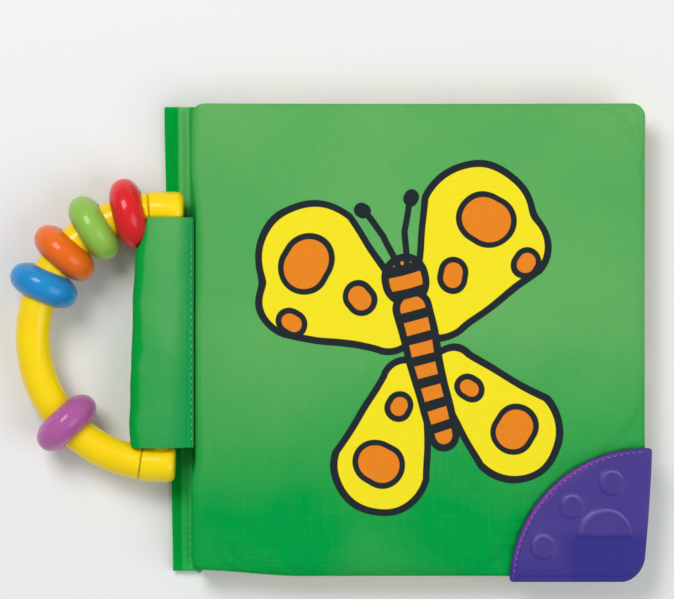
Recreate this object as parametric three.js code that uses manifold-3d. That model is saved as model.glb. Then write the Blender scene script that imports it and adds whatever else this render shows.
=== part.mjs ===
// Soft cloth crinkle book with a beaded teething ring held in a sleeve on its spine.
// It lies on its back cover: X runs from spine to fore edge, Y from foot to head, Z is up.
// Lengths are in millimetres, and the origin is the middle of the back cover's underside.

import * as THREE from 'three';
import { mergeVertices } from 'three/addons/utils/BufferGeometryUtils.js';
import Module from 'manifold-3d';

const wasm = await Module();
wasm.setup();

// Covers and pages
const coverWidth = 166;
const coverHeight = 174;
const pageInset = 1.5;
const frontThickness = 5;
const pageThickness = 3.6;
const backThickness = 4.6;
const clothThickness = 0.8;
const seatGap = 0.3;
const cornerRadius = 5;
const sidePull = 0.8;
const frontCrown = 0.8;
const edgeReach = 14;
const edgeLines = [0, 1.5, 9.5];
const fillInset = 12;
const fillFromLip = 30;
const filmThickness = 0.15;
const filmBand = 0.4;
const filmPleats = 14;

// Spine cloth and binding tape
const spineThickness = 2;
const spineLeft = -0.2;
const spineFoot = 0.3;
const spineShortfall = 0.6;
const spineEndInset = 0.5;
const tapeFloor = 0.6;
const tapeThickness = 3;
const tapeWidthHead = 12.2;
const tapeWidthFoot = 8.9;

// Moulded teething corner
const teetherRadius = 51.4;
const teetherOverhangX = 2.4;
const teetherOverhangY = 2.7;
const teetherX = coverWidth + teetherOverhangX;
const teetherY = -coverHeight / 2 - teetherOverhangY;
const teetherSlant = 2.4;
const teetherCorner = 9.2;
const teetherThickness = 5.5;
const teetherEdge = 0.5;
const lipWidth = 6;
const lipMargin = 5;
const fieldInset = 2.2;
const fieldHeight = 0.5;
const fieldEdge = 0.25;
const bumpHeight = 0.9;
const bumpEdge = 0.5;
// Each round bump as left of the corner, above the corner and radius
const roundBumps = [
  [14.8, 37, 4.8],
  [29.6, 28.3, 4.6],
  [40.3, 13.4, 4.8],
];
const halfBump = { left: 17.3, above: 17.8, radius: 10 };

// Teething ring and beads
const ringRadius = 47.2;
const ringTubeRadius = 6.4;
const ringBarRadius = 4.5;
const ringBarOffset = 1;
const ringTilt = THREE.MathUtils.degToRad(-1.9);
const barToSpine = 12.9;
const ringAboveMiddle = 1;
const capRadius = 6.8;
const capRun = 5.3;
const capReach = 7.2;
const capFillet = 2.6;
const spigotRadius = 3.6;
const spigotLength = 5.6;
const beadRadius = 13.1;
const beadHalfThickness = 6.8;
const beadFullness = 2.3;
const beadBoreRadius = 7;
const beads = [
  { name: 'bead_red', turn: 15.9, colour: 0xe0222a },
  { name: 'bead_green', turn: 33.3, colour: 0x7fc05a },
  { name: 'bead_orange', turn: 50.7, colour: 0xf0651e },
  { name: 'bead_blue', turn: 68.1, colour: 0x2a80c8 },
  { name: 'bead_purple', turn: 134.6, colour: 0xa84fa8 },
];

// Cloth sleeve round the ring's bar
const sleeveCloth = 0.9;
const sleeveLeft = 11;
const sleeveTop = 7.6;
const sleeveBack = 11;
const barClearance = 0.4;
const sleeveEndGap = 1.5;
const sleeveShoulder = 3.5;
const sleeveTaper = 11;
const sleeveStepBias = 1.6;
const sleeveSteps = 9;

// Levels worked out from the sizes above
const leafStart = spineLeft + spineThickness + seatGap;
const backSeam = backThickness / 2;
const page2Seam = backThickness + seatGap + pageThickness / 2;
const page1Seam = page2Seam + pageThickness + seatGap;
const frontSeam = page1Seam + pageThickness / 2 + seatGap + frontThickness / 2;
const ringPlane = beadRadius;
const cutOverrun = 2;

const cloth = { green: 0x5cb35f, deepGreen: 0x2fa35a, lime: 0xa9cf55, yellow: 0xf7d437 };

function toSolid(geometry) {
  const bare = geometry.clone();
  bare.deleteAttribute('normal');
  bare.deleteAttribute('uv');
  const merged = mergeVertices(bare);
  return new wasm.Manifold(new wasm.Mesh({
    numProp: 3,
    vertProperties: new Float32Array(merged.attributes.position.array),
    triVerts: new Uint32Array(merged.index.array),
  }));
}

function toGeometry(solid) {
  const { vertProperties, triVerts } = solid.getMesh();
  const geometry = new THREE.BufferGeometry();
  geometry.setAttribute('position', new THREE.BufferAttribute(new Float32Array(vertProperties), 3));
  geometry.setIndex(new THREE.BufferAttribute(new Uint32Array(triVerts), 1));
  geometry.computeVertexNormals();
  return geometry;
}

function piece(name, geometry, color, roughness) {
  const mesh = new THREE.Mesh(geometry, new THREE.MeshStandardMaterial({ color, roughness, metalness: 0 }));
  mesh.name = name;
  return mesh;
}

// A straight round bar from one point to another
function rod(radius, from, to, sides) {
  const run = new THREE.Vector3().subVectors(to, from);
  const geometry = new THREE.CylinderGeometry(radius, radius, run.length(), sides);
  const up = new THREE.Vector3(0, 1, 0);
  geometry.applyQuaternion(new THREE.Quaternion().setFromUnitVectors(up, run.clone().normalize()));
  const middle = from.clone().addScaledVector(run, 0.5);
  return geometry.translate(middle.x, middle.y, middle.z);
}

// Lines of a cloth grid: close together by both edges, even between them
function gridLines(length, middleCount) {
  const near = [edgeLines[0], edgeLines[1], cornerRadius, edgeLines[2], edgeReach];
  const span = length - 2 * edgeReach;
  const gap = span / (middleCount + 1);
  const between = Array.from({ length: middleCount }, (_, i) => edgeReach + gap * (i + 1));
  return [...near, ...between, ...near.map((line) => length - line).reverse()];
}

// Rises steeply from a sewn edge and levels out at its reach
function swell(distance) {
  const share = THREE.MathUtils.clamp(distance / edgeReach, 0, 1);
  return Math.sqrt(1 - (1 - share) ** 2);
}

// One point of a leaf's outline grid, with its distance to the nearest sewn edge
function leafPoint(u, v, width, height) {
  const r = cornerRadius;
  const cu = THREE.MathUtils.clamp(u, r, width - r);
  const cv = THREE.MathUtils.clamp(v, r, height - r);
  const a = (u - cu) / r;
  const b = (v - cv) / r;
  const roundA = a * Math.sqrt(1 - (b * b) / 2);
  const roundB = b * Math.sqrt(1 - (a * a) / 2);
  const inCorner = a !== 0 && b !== 0;
  const edge = inCorner ? r * (1 - Math.hypot(roundA, roundB)) : Math.min(u, width - u, v, height - v);
  const shareU = (cu + r * roundA) / width;
  const shareV = (cv + r * roundB) / height;
  const bowU = 1 - (2 * shareU - 1) ** 2;
  const bowV = 1 - (2 * shareV - 1) ** 2;
  const x = leafStart + shareU * (width - sidePull * bowV);
  const y = (2 * shareV - 1) * (height / 2 - sidePull * bowU);
  return { x, y, edge, bow: bowU * bowV };
}

// A sewn-edged sheet of cloth that swells away from its seam, up (side 1) or down (side -1)
function swollenSheet({ seam, side, thickness, inset, crown = 0, middle, teether = false }) {
  const width = coverWidth - leafStart - inset;
  const height = coverHeight - 2 * inset;
  const rise = thickness / 2 - seatGap / 2 - clothThickness;
  const columns = gridLines(width, middle);
  const rows = gridLines(height, middle);
  const inner = [];
  const outer = [];
  for (const v of rows) {
    for (const u of columns) {
      const point = leafPoint(u, v, width, height);
      const fromLip = Math.hypot(point.x - teetherX, point.y - teetherY) - teetherRadius - lipMargin;
      const edge = teether ? Math.min(point.edge, Math.max(fromLip, 0)) : point.edge;
      const level = seatGap / 2 + rise * swell(edge) + crown * point.bow * swell(edge);
      inner.push(point.x, point.y, seam + side * level);
      outer.push(point.x, point.y, seam + side * (level + clothThickness));
    }
  }
  const count = columns.length;
  const lift = rows.length * count;
  const faces = [];
  const quad = (a, b, c, d) => (side > 0 ? faces.push(a, b, c, a, c, d) : faces.push(a, c, b, a, d, c));
  for (let j = 0; j < rows.length - 1; j += 1) {
    for (let i = 0; i < count - 1; i += 1) {
      const p = j * count + i;
      quad(lift + p, lift + p + 1, lift + p + count + 1, lift + p + count);
      quad(p, p + count, p + count + 1, p + 1);
    }
  }
  const rim = [];
  for (let i = 0; i < count; i += 1) rim.push(i);
  for (let j = 1; j < rows.length; j += 1) rim.push(j * count + count - 1);
  for (let i = count - 2; i >= 0; i -= 1) rim.push((rows.length - 1) * count + i);
  for (let j = rows.length - 2; j > 0; j -= 1) rim.push(j * count);
  rim.forEach((p, i) => {
    const q = rim[(i + 1) % rim.length];
    quad(p, q, lift + q, lift + p);
  });
  const geometry = new THREE.BufferGeometry();
  geometry.setAttribute('position', new THREE.Float32BufferAttribute([...inner, ...outer], 3));
  geometry.setIndex(faces);
  geometry.computeVertexNormals();
  return geometry;
}

// The upright cylinder that clears the teether's place in a cover
function teetherCut(radius) {
  const geometry = new THREE.CylinderGeometry(radius, radius, 2 * frontSeam, 96);
  geometry.rotateX(Math.PI / 2);
  return toSolid(geometry.translate(teetherX, teetherY, frontSeam));
}

function roundedRectangle(left, right, bottom, top, radius) {
  const shape = new THREE.Shape();
  shape.moveTo(left + radius, bottom);
  shape.lineTo(right - radius, bottom);
  shape.absarc(right - radius, bottom + radius, radius, -Math.PI / 2, 0);
  shape.lineTo(right, top - radius);
  shape.absarc(right - radius, top - radius, radius, 0, Math.PI / 2);
  shape.lineTo(left + radius, top);
  shape.absarc(left + radius, top - radius, radius, Math.PI / 2, Math.PI);
  shape.lineTo(left, bottom + radius);
  shape.absarc(left + radius, bottom + radius, radius, Math.PI, 1.5 * Math.PI);
  return shape;
}

// A flat batt of wadding between two levels
function wadding(bottom, top, withCut) {
  const right = coverWidth - fillInset;
  const half = coverHeight / 2 - fillInset;
  const shape = roundedRectangle(leafStart + fillInset, right, -half, half, cornerRadius);
  const options = { depth: top - bottom, bevelEnabled: false, curveSegments: 3 };
  const geometry = new THREE.ExtrudeGeometry(shape, options);
  const solid = toSolid(geometry.translate(0, 0, bottom));
  return toGeometry(withCut ? solid.subtract(teetherCut(teetherRadius + fillFromLip)) : solid);
}

// A sheet of crackling film, pleated along Y, that fills a level band
function crinkleFilm(bottom, top, inset, withCut) {
  const left = leafStart + fillInset;
  const right = coverWidth - fillInset - inset;
  const height = coverHeight - 2 * (fillInset + inset);
  const steps = 2 * filmPleats;
  const upper = [];
  const lower = [];
  for (let i = 0; i <= steps; i += 1) {
    const x = left + ((right - left) * i) / steps;
    const low = i % 2 === 0 ? bottom : top - filmThickness;
    lower.push(new THREE.Vector2(x, low));
    upper.push(new THREE.Vector2(x, low + filmThickness));
  }
  const shape = new THREE.Shape([...lower, ...upper.reverse()]);
  const geometry = new THREE.ExtrudeGeometry(shape, { depth: height, bevelEnabled: false });
  geometry.rotateX(Math.PI / 2).translate(0, height / 2, 0);
  const solid = toSolid(geometry);
  return toGeometry(withCut ? solid.subtract(teetherCut(teetherRadius + fillFromLip)) : solid);
}

// Outline of the teether seen from above, its outer corner at the shape's zero
function quarterDisc(radius, inset) {
  const reach = radius - inset;
  const run = Math.sqrt(reach ** 2 - inset ** 2);
  const cut = Math.asin(inset / reach);
  const corner = teetherCorner - inset;
  const shape = new THREE.Shape();
  shape.moveTo(-run, inset);
  shape.lineTo(-teetherCorner, inset);
  shape.absarc(-teetherCorner, teetherCorner, corner, -Math.PI / 2, 0);
  shape.lineTo(-inset, run);
  shape.absarc(0, 0, reach, Math.PI / 2 + cut, Math.PI - cut);
  return shape;
}

// A plate of the given outline with softened edges, from one level to another
function softPlate(outline, bottom, top, edge, segments) {
  return new THREE.ExtrudeGeometry(outline, {
    depth: top - bottom - 2 * edge,
    bevelThickness: edge,
    bevelSize: edge,
    bevelOffset: -edge,
    bevelSegments: 2,
    curveSegments: segments,
  }).translate(0, 0, bottom + edge);
}

// The outer side leans in from the arc's tip down to the rounded corner
function teether() {
  const bottom = frontSeam - frontThickness / 2;
  const top = bottom + teetherThickness;
  const lipBottom = frontSeam + 1.5 * seatGap + clothThickness;
  const field = top + fieldHeight;
  const bump = field + bumpHeight;
  const bodyRadius = teetherRadius - lipWidth - seatGap;
  const bodyTop = top - teetherEdge;
  const edge = teetherEdge;
  let solid = toSolid(softPlate(quarterDisc(teetherRadius, 0), lipBottom, top, edge, 9));
  solid = solid.add(toSolid(softPlate(quarterDisc(bodyRadius, 0), bottom, bodyTop, edge, 9)));
  const inField = lipBottom + teetherEdge;
  const raised = quarterDisc(teetherRadius, fieldInset);
  solid = solid.add(toSolid(softPlate(raised, inField, field, fieldEdge, 9)));
  for (const [left, above, radius] of roundBumps) {
    const disc = new THREE.Shape().absarc(-left, above, radius, 0, 2 * Math.PI);
    solid = solid.add(toSolid(softPlate(disc, inField, bump, bumpEdge, 6)));
  }
  const half = new THREE.Shape();
  half.absarc(-halfBump.left, halfBump.above, halfBump.radius, 0, Math.PI);
  solid = solid.add(toSolid(softPlate(half, inField, bump, bumpEdge, 7)));
  const geometry = toGeometry(solid);
  const place = geometry.attributes.position;
  for (let i = 0; i < place.count; i += 1) {
    const below = Math.max(1 - place.getY(i) / teetherRadius, 0);
    const beside = Math.max(1 + place.getX(i) / teetherRadius, 0);
    place.setX(i, place.getX(i) - teetherSlant * below ** 1.5 * beside ** 2);
  }
  geometry.computeVertexNormals();
  return geometry.translate(teetherX, teetherY, 0);
}

function frontCover() {
  const group = new THREE.Group();
  const sheet = { seam: frontSeam, thickness: frontThickness, inset: 0, teether: true };
  const cut = teetherCut(teetherRadius - lipWidth);
  const face = toSolid(swollenSheet({ ...sheet, side: 1, crown: frontCrown, middle: 14 })).subtract(cut);
  const lining = toSolid(swollenSheet({ ...sheet, side: -1, middle: 6 })).subtract(cut);
  const hollow = frontThickness / 2 - clothThickness;
  const filmTop = frontSeam + hollow - seatGap;
  const filmBottom = filmTop - filmBand;
  group.add(piece('front_cover_cloth', toGeometry(face), cloth.green, 0.8));
  group.add(piece('front_cover_lining', toGeometry(lining), cloth.yellow, 0.8));
  group.add(piece('front_cover_crinkle_film', crinkleFilm(filmBottom, filmTop, 0, true), 0xdfe6ea, 0.3));
  const batt = wadding(frontSeam - hollow + seatGap, filmBottom - seatGap, true);
  group.add(piece('front_cover_wadding', batt, 0xf4f2ea, 0.95));
  group.add(piece('teether_corner', teether(), 0x4a3a90, 0.45));
  return group;
}

function pageLeaf(number, seam) {
  const group = new THREE.Group();
  const sheet = { seam, thickness: pageThickness, inset: pageInset, middle: 2 };
  const hollow = pageThickness / 2 - clothThickness - seatGap;
  group.add(piece(`page_${number}_upper_cloth`, swollenSheet({ ...sheet, side: 1 }), cloth.yellow, 0.8));
  group.add(piece(`page_${number}_lower_cloth`, swollenSheet({ ...sheet, side: -1 }), cloth.lime, 0.8));
  const film = crinkleFilm(seam - hollow, seam + hollow, pageInset, false);
  group.add(piece(`page_${number}_crinkle_film`, film, 0xdfe6ea, 0.3));
  return group;
}

function backCover() {
  const group = new THREE.Group();
  const sheet = { seam: backSeam, thickness: backThickness, inset: 0 };
  const hollow = backThickness / 2 - clothThickness;
  const filmTop = backSeam + hollow - seatGap;
  const filmBottom = filmTop - filmBand;
  group.add(piece('back_cover_lining', swollenSheet({ ...sheet, side: 1, middle: 2 }), cloth.lime, 0.8));
  group.add(piece('back_cover_cloth', swollenSheet({ ...sheet, side: -1, middle: 4 }), cloth.green, 0.8));
  group.add(piece('back_cover_crinkle_film', crinkleFilm(filmBottom, filmTop, 0, false), 0xdfe6ea, 0.3));
  const batt = wadding(backSeam - hollow + seatGap, filmBottom - seatGap, false);
  group.add(piece('back_cover_wadding', batt, 0xf4f2ea, 0.95));
  return group;
}

// A profile drawn in X and Z, drawn out along Y between two places
function alongSpine(shape, foot, head, options = {}) {
  const geometry = new THREE.ExtrudeGeometry(shape, { depth: head - foot, bevelEnabled: false, ...options });
  return geometry.rotateX(Math.PI / 2).translate(0, head, 0);
}

function spineCloth() {
  const half = coverHeight / 2 - spineEndInset;
  const top = frontSeam - spineShortfall;
  const shape = roundedRectangle(spineLeft, spineLeft + spineThickness, spineFoot, top, spineThickness / 3);
  return piece('spine_cloth', alongSpine(shape, -half, half, { curveSegments: 2 }), cloth.green, 0.8);
}

// The tape's left edge slants: it is wider at the head than at the foot
function bindingTape() {
  const half = coverHeight / 2;
  const right = spineLeft - seatGap;
  const corner = tapeThickness / 3;
  const tapeTop = tapeFloor + tapeThickness;
  const shape = roundedRectangle(-tapeWidthHead, right, tapeFloor, tapeTop, corner);
  const geometry = alongSpine(shape, -half, half, { curveSegments: 3 });
  const place = geometry.attributes.position;
  for (let i = 0; i < place.count; i += 1) {
    const headShare = (place.getY(i) + half) / coverHeight;
    const width = THREE.MathUtils.lerp(tapeWidthFoot, tapeWidthHead, headShare);
    const fromRight = (right - place.getX(i)) / (right + tapeWidthHead);
    place.setX(i, right - fromRight * (width + right));
  }
  geometry.computeVertexNormals();
  return piece('binding_tape', geometry, cloth.deepGreen, 0.8);
}

const barX = -barToSpine;
const sleeveHead = ringAboveMiddle + ringRadius - capRadius - sleeveEndGap;
const sleeveFoot = ringAboveMiddle - ringRadius + capRadius + sleeveEndGap;
const sleeveEndRadius = ringBarRadius + barClearance + sleeveCloth;
const sleeveBottom = ringPlane - tapeFloor - tapeThickness - seatGap;

const sleeveTailEnd = barToSpine + spineLeft - seatGap;
const sleeveInside = ringBarRadius + barClearance;

// Draws a sleeve profile in towards its head, where it hugs the bar, and leans it with the bar
function drawnIn(shape, left, endLeft, top, endTop, foot, head) {
  const length = head - foot;
  const geometry = alongSpine(shape, foot, head, { steps: sleeveSteps, curveSegments: 4 });
  const place = geometry.attributes.position;
  for (let i = 0; i < place.count; i += 1) {
    const downShare = THREE.MathUtils.clamp((head - place.getY(i)) / length, 0, 1);
    const y = head - length * downShare ** sleeveStepBias;
    const drawn = 1 - THREE.MathUtils.clamp((sleeveHead - sleeveShoulder - y) / sleeveTaper, 0, 1);
    const leftShare = THREE.MathUtils.lerp(1, endLeft / left, drawn);
    const topShare = THREE.MathUtils.lerp(1, endTop / top, drawn);
    const x = place.getX(i);
    const z = place.getZ(i);
    const held = THREE.MathUtils.clamp((sleeveTailEnd - x) / (sleeveTailEnd - sleeveInside), 0, 1);
    const lean = held * (ringAboveMiddle - y) * Math.tan(ringTilt);
    place.setXYZ(i, (x < 0 ? x * leftShare : x) + lean, y, z > 0 ? z * topShare : z);
  }
  return toSolid(geometry);
}

function handleSleeve() {
  const tailTop = -sleeveBottom + 2 * sleeveCloth;
  const outline = new THREE.Shape();
  outline.moveTo(sleeveTailEnd, -sleeveBottom);
  outline.lineTo(sleeveTailEnd, tailTop);
  outline.bezierCurveTo(sleeveBack, tailTop, sleeveBack, sleeveTop, 0, sleeveTop);
  outline.absellipse(0, 0, sleeveLeft, sleeveTop, Math.PI / 2, Math.PI);
  outline.absellipse(0, 0, sleeveLeft, sleeveBottom, Math.PI, 1.5 * Math.PI);
  const hollow = new THREE.Shape();
  const hollowLeft = sleeveLeft - sleeveCloth;
  const hollowTop = sleeveTop - sleeveCloth;
  const hollowBottom = sleeveBottom - sleeveCloth;
  hollow.moveTo(sleeveInside, 0);
  hollow.absellipse(0, 0, sleeveInside, hollowTop, 0, Math.PI / 2);
  hollow.absellipse(0, 0, hollowLeft, hollowTop, Math.PI / 2, Math.PI);
  hollow.absellipse(0, 0, hollowLeft, hollowBottom, Math.PI, 1.5 * Math.PI);
  hollow.absellipse(0, 0, sleeveInside, hollowBottom, 1.5 * Math.PI, 2 * Math.PI);
  const outerSizes = [sleeveLeft, sleeveEndRadius, sleeveTop, sleeveEndRadius];
  const outer = drawnIn(outline, ...outerSizes, sleeveFoot, sleeveHead);
  const ends = [sleeveFoot - cutOverrun, sleeveHead + cutOverrun];
  const inner = drawnIn(hollow, hollowLeft, sleeveInside, hollowTop, sleeveInside, ...ends);
  const geometry = toGeometry(outer.subtract(inner)).translate(barX, 0, ringPlane);
  return piece('handle_sleeve', geometry, cloth.green, 0.8);
}

// The ring's round centre line, counted from the head towards the left
class RingArc extends THREE.Curve {
  constructor(from, to) {
    super();
    this.from = from;
    this.to = to;
  }

  getPoint(share, target = new THREE.Vector3()) {
    const turn = THREE.MathUtils.lerp(this.from, this.to, share);
    return target.set(-ringRadius * Math.sin(turn), ringRadius * Math.cos(turn), 0);
  }
}

function ringTube(radius, from, to, steps) {
  const circle = new THREE.Shape().absarc(0, 0, radius, 0, 2 * Math.PI);
  return new THREE.ExtrudeGeometry(circle, { extrudePath: new RingArc(from, to), steps, curveSegments: 7 });
}

const jointTurn = Math.asin(capRun / ringRadius);

// The straight line that a spigot and its socket share at the head's joint
function jointLine(fromJoint) {
  const start = new RingArc(jointTurn, jointTurn).getPoint(0);
  const along = new THREE.Vector3(Math.cos(jointTurn), Math.sin(jointTurn), 0);
  return start.addScaledVector(along, fromJoint);
}

function ringArch() {
  const gapTurn = seatGap / ringRadius;
  let solid = toSolid(ringTube(ringTubeRadius, jointTurn + gapTurn, Math.PI - jointTurn - gapTurn, 40));
  const spigot = rod(spigotRadius, jointLine(-ringTubeRadius / 2), jointLine(spigotLength), 12);
  const footSpigot = spigot.clone().rotateX(Math.PI);
  solid = solid.add(toSolid(spigot)).add(toSolid(footSpigot));
  return piece('ring_arch', toGeometry(solid), 0xffd600, 0.35);
}

// One end of the bar: a short bend that goes on straight to a round-edged end
function ringCap() {
  const profile = [new THREE.Vector2(0, -cutOverrun / 2), new THREE.Vector2(capRadius, -cutOverrun / 2)];
  const filletSteps = 4;
  for (let i = 0; i <= filletSteps; i += 1) {
    const turn = ((Math.PI / 2) * i) / filletSteps;
    const across = capRadius - capFillet + capFillet * Math.cos(turn);
    profile.push(new THREE.Vector2(across, capReach - capFillet + capFillet * Math.sin(turn)));
  }
  profile.push(new THREE.Vector2(0, capReach));
  const end = new THREE.LatheGeometry(profile, 20).rotateZ(-Math.PI / 2).translate(0, ringRadius, 0);
  const bend = ringTube(capRadius, 0, jointTurn, 3);
  const depth = spigotLength + seatGap;
  const socket = rod(spigotRadius + seatGap, jointLine(-cutOverrun), jointLine(depth), 12);
  return toSolid(end).add(toSolid(bend)).subtract(toSolid(socket));
}

function ringBar() {
  const reach = ringRadius - spigotRadius - 2 * seatGap;
  const foot = new THREE.Vector3(ringBarOffset, -reach, 0);
  const head = new THREE.Vector3(ringBarOffset, reach, 0);
  const bar = rod(ringBarRadius, foot, head, 20);
  const headCap = ringCap();
  const footCap = toSolid(toGeometry(headCap).rotateX(Math.PI));
  const solid = headCap.add(footCap).add(toSolid(bar));
  return piece('ring_bar', toGeometry(solid), 0xffd600, 0.35);
}

function bead({ name, turn, colour }) {
  const power = 2 / beadFullness;
  const rimTurn = Math.acos((beadBoreRadius / beadRadius) ** (1 / power));
  const steps = 10;
  const profile = [];
  for (let i = 0; i <= steps; i += 1) {
    const around = THREE.MathUtils.lerp(-rimTurn, rimTurn, i / steps);
    const across = beadRadius * Math.cos(around) ** power;
    const along = beadHalfThickness * Math.abs(Math.sin(around)) ** power * Math.sign(around);
    profile.push(new THREE.Vector2(across, along));
  }
  profile.push(profile[0].clone());
  const ball = new THREE.LatheGeometry(profile, 28).rotateZ(Math.PI / 2);
  const mesh = piece(name, ball, colour, 0.15);
  mesh.position.y = ringRadius;
  const place = new THREE.Group();
  place.rotation.z = THREE.MathUtils.degToRad(turn);
  return place.add(mesh);
}

function teethingRing() {
  const group = new THREE.Group();
  group.add(ringArch(), ringBar(), ...beads.map(bead));
  group.rotation.z = ringTilt;
  group.position.set(barX - ringBarOffset, ringAboveMiddle, ringPlane);
  return group;
}

const group = new THREE.Group();
group.add(frontCover(), pageLeaf(1, page1Seam), pageLeaf(2, page2Seam), backCover());
group.add(spineCloth(), bindingTape(), handleSleeve(), teethingRing());
group.position.x = -coverWidth / 2;

export default group;
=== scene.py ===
# %% [markdown]
# # Cloth crinkle book with a beaded teething ring
# The book is soft: two padded covers and two pages, sewn together at a cloth spine. A sleeve on the spine
# holds a hard yellow ring with five beads, and one corner of the cover is a moulded rubber teether.
# The CAD model is the fixed frame. Each new piece takes the place of the nodes that it stands for: cloth
# with the fullness that solids can't show, and hard parts with rounder edges.

# %% Load the frame
import math
import bmesh
import bpy
from mathutils import Matrix, Vector, noise


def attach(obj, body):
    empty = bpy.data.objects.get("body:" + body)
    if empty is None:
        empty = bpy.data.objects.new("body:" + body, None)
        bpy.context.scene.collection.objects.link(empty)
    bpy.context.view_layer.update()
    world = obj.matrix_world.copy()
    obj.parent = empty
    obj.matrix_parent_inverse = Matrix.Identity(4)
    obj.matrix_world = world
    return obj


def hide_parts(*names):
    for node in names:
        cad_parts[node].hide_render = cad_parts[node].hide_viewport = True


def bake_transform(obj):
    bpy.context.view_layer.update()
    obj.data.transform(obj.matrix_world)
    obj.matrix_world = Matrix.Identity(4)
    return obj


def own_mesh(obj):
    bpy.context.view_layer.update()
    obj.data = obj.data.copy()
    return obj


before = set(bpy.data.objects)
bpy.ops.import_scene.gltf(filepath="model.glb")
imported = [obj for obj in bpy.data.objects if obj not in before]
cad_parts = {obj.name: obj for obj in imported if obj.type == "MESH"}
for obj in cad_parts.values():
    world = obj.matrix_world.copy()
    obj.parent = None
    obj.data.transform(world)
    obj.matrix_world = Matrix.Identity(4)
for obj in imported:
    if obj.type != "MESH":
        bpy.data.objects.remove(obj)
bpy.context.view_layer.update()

# %% [markdown]
# ## Camera and light
# The camera looks straight down through a long lens, which keeps the covers square. Two large soft lamps
# and an even pale world light the book at a level at which a colour shows about as it is written.

# %% Camera
MM = 0.001
# How many millimetres of the cover one pixel of the picture shows, and the pixels where its spine and its
# middle line lie
PIXEL = 0.37
PICTURE = (674, 599)
SPINE_PIXEL, MIDDLE_PIXEL = 197, 339.5
SPINE_X = -83
COVER_LEVEL = 17
lens = bpy.data.cameras.new("camera")
lens.lens, lens.sensor_width = 150, 36
lens.clip_start, lens.clip_end = 0.05, 20
distance = PICTURE[0] * PIXEL * lens.lens / lens.sensor_width
across, up = (PICTURE[0] / 2 - SPINE_PIXEL) * PIXEL + SPINE_X, (MIDDLE_PIXEL - PICTURE[1] / 2) * PIXEL
camera = bpy.data.objects.new("camera", lens)
camera.location = (across * MM, up * MM, (COVER_LEVEL + distance) * MM)
bpy.context.collection.objects.link(camera)
bpy.context.scene.camera = camera
bpy.context.scene.view_settings.view_transform = "Standard"
print(f"camera {distance * MM:.3f} m above the cover")

# %% Lamps and world


def soft_lamp(name, place, size, power, colour, shine=1.0):
    """A square area lamp that faces the book. Its shine is how strongly it shows as a highlight."""
    data = bpy.data.lights.new(name, "AREA")
    data.size, data.energy, data.color, data.specular_factor = size, power, colour, shine
    lamp = bpy.data.objects.new(name, data)
    lamp.location = place
    lamp.rotation_euler = (-Vector(place)).to_track_quat("-Z", "Y").to_euler()
    bpy.context.collection.objects.link(lamp)


soft_lamp("key_lamp", (-0.45, 0.6, 1.05), 0.55, 9.0, (1.0, 0.985, 0.96))
soft_lamp("fill_lamp", (0.75, -0.35, 0.9), 0.9, 5.8, (0.96, 0.98, 1.0), shine=0.1)
world = bpy.data.worlds.new("studio")
bpy.context.scene.world = world
world.use_nodes = True
sky = world.node_tree.nodes["Background"].inputs
sky["Color"].default_value, sky["Strength"].default_value = (0.95, 0.97, 1.0, 1), 0.36

# %% [markdown]
# ## Small helpers
# A material reads better as a formula. Each helper adds one node, fed by numbers or by other nodes, and
# gives back its output. The new node goes into the tree of what feeds it.

# %% Node helpers


def feed(made, feeds):
    """Sets or links a node's inputs."""
    for key, value in feeds.items():
        if isinstance(value, bpy.types.NodeSocket):
            made.id_data.links.new(value, made.inputs[key])
        else:
            made.inputs[key].default_value = value
    return made


def node(kind, feeds, tree=None, **settings):
    """Adds one node with its settings."""
    linked = (value.id_data for value in feeds.values() if isinstance(value, bpy.types.NodeSocket))
    made = (tree or next(linked)).nodes.new("ShaderNode" + kind)
    for key, value in settings.items():
        setattr(made, key, value)
    return feed(made, feeds)


def maths(operation, *values, clamp=False):
    return node("Math", dict(enumerate(values)), operation=operation, use_clamp=clamp).outputs[0]


def plus(first, second, clamp=False):
    return maths("ADD", first, second, clamp=clamp)


def minus(first, second):
    return maths("SUBTRACT", first, second)


def times(first, second):
    return maths("MULTIPLY", first, second)


def ramp(value, start, end, low=0.0, high=1.0):
    """Goes from low to high as a value goes from start to end."""
    return node("MapRange", {0: value, 1: start, 2: end, 3: low, 4: high}).outputs[0]


# %% Vector and colour helpers


def vectors(operation, *values, result="Vector", **more):
    return node("VectorMath", {**dict(enumerate(values)), **more}, operation=operation).outputs[result]


def length(vector):
    return vectors("LENGTH", vector, result="Value")


def spanned(place, span):
    """A place counted in steps of a span."""
    return vectors("SCALE", place, Scale=maths("DIVIDE", 1.0, span))


def axes(place):
    return node("SeparateXYZ", {0: place}).outputs


def flat_point(x, y):
    return node("CombineXYZ", {0: x, 1: y, 2: 0.0}).outputs[0]


def cloud(place, scale, detail, result=0, **more):
    """Soft noise."""
    return node("TexNoise", {"Vector": place, "Scale": scale, "Detail": detail, **more}).outputs[result]


def bump(height, distance, strength, **more):
    return node("Bump", {"Height": height, "Distance": distance, "Strength": strength, **more}).outputs[0]


def blend(share, first, second):
    """Mixes two colours by a share."""
    return node("Mix", {0: share, 6: first, 7: second}, data_type="RGBA").outputs[2]


def coats(ground, *layers):
    """Lays colours over a ground, each by its own share."""
    for share, colour in layers:
        ground = blend(share, ground, colour)
    return ground


def srgb(*levels):
    """A colour as seen on a screen, from 0 to 255, in the renderer's linear values."""
    shares = (level / 255 for level in levels)
    return (*(c / 12.92 if c <= 0.04045 else ((c + 0.055) / 1.055) ** 2.4 for c in shares), 1.0)


# %% Material and group helpers


def new_material(name):
    """A material and its shader."""
    material = bpy.data.materials.new(name)
    material.use_nodes = True
    return material, material.node_tree.nodes["Principled BSDF"]


def solid_place(shader):
    """Millimetres in the piece's own space."""
    return vectors("SCALE", node("TexCoord", {}, tree=shader.id_data).outputs["Object"], Scale=1000.0)


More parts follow.
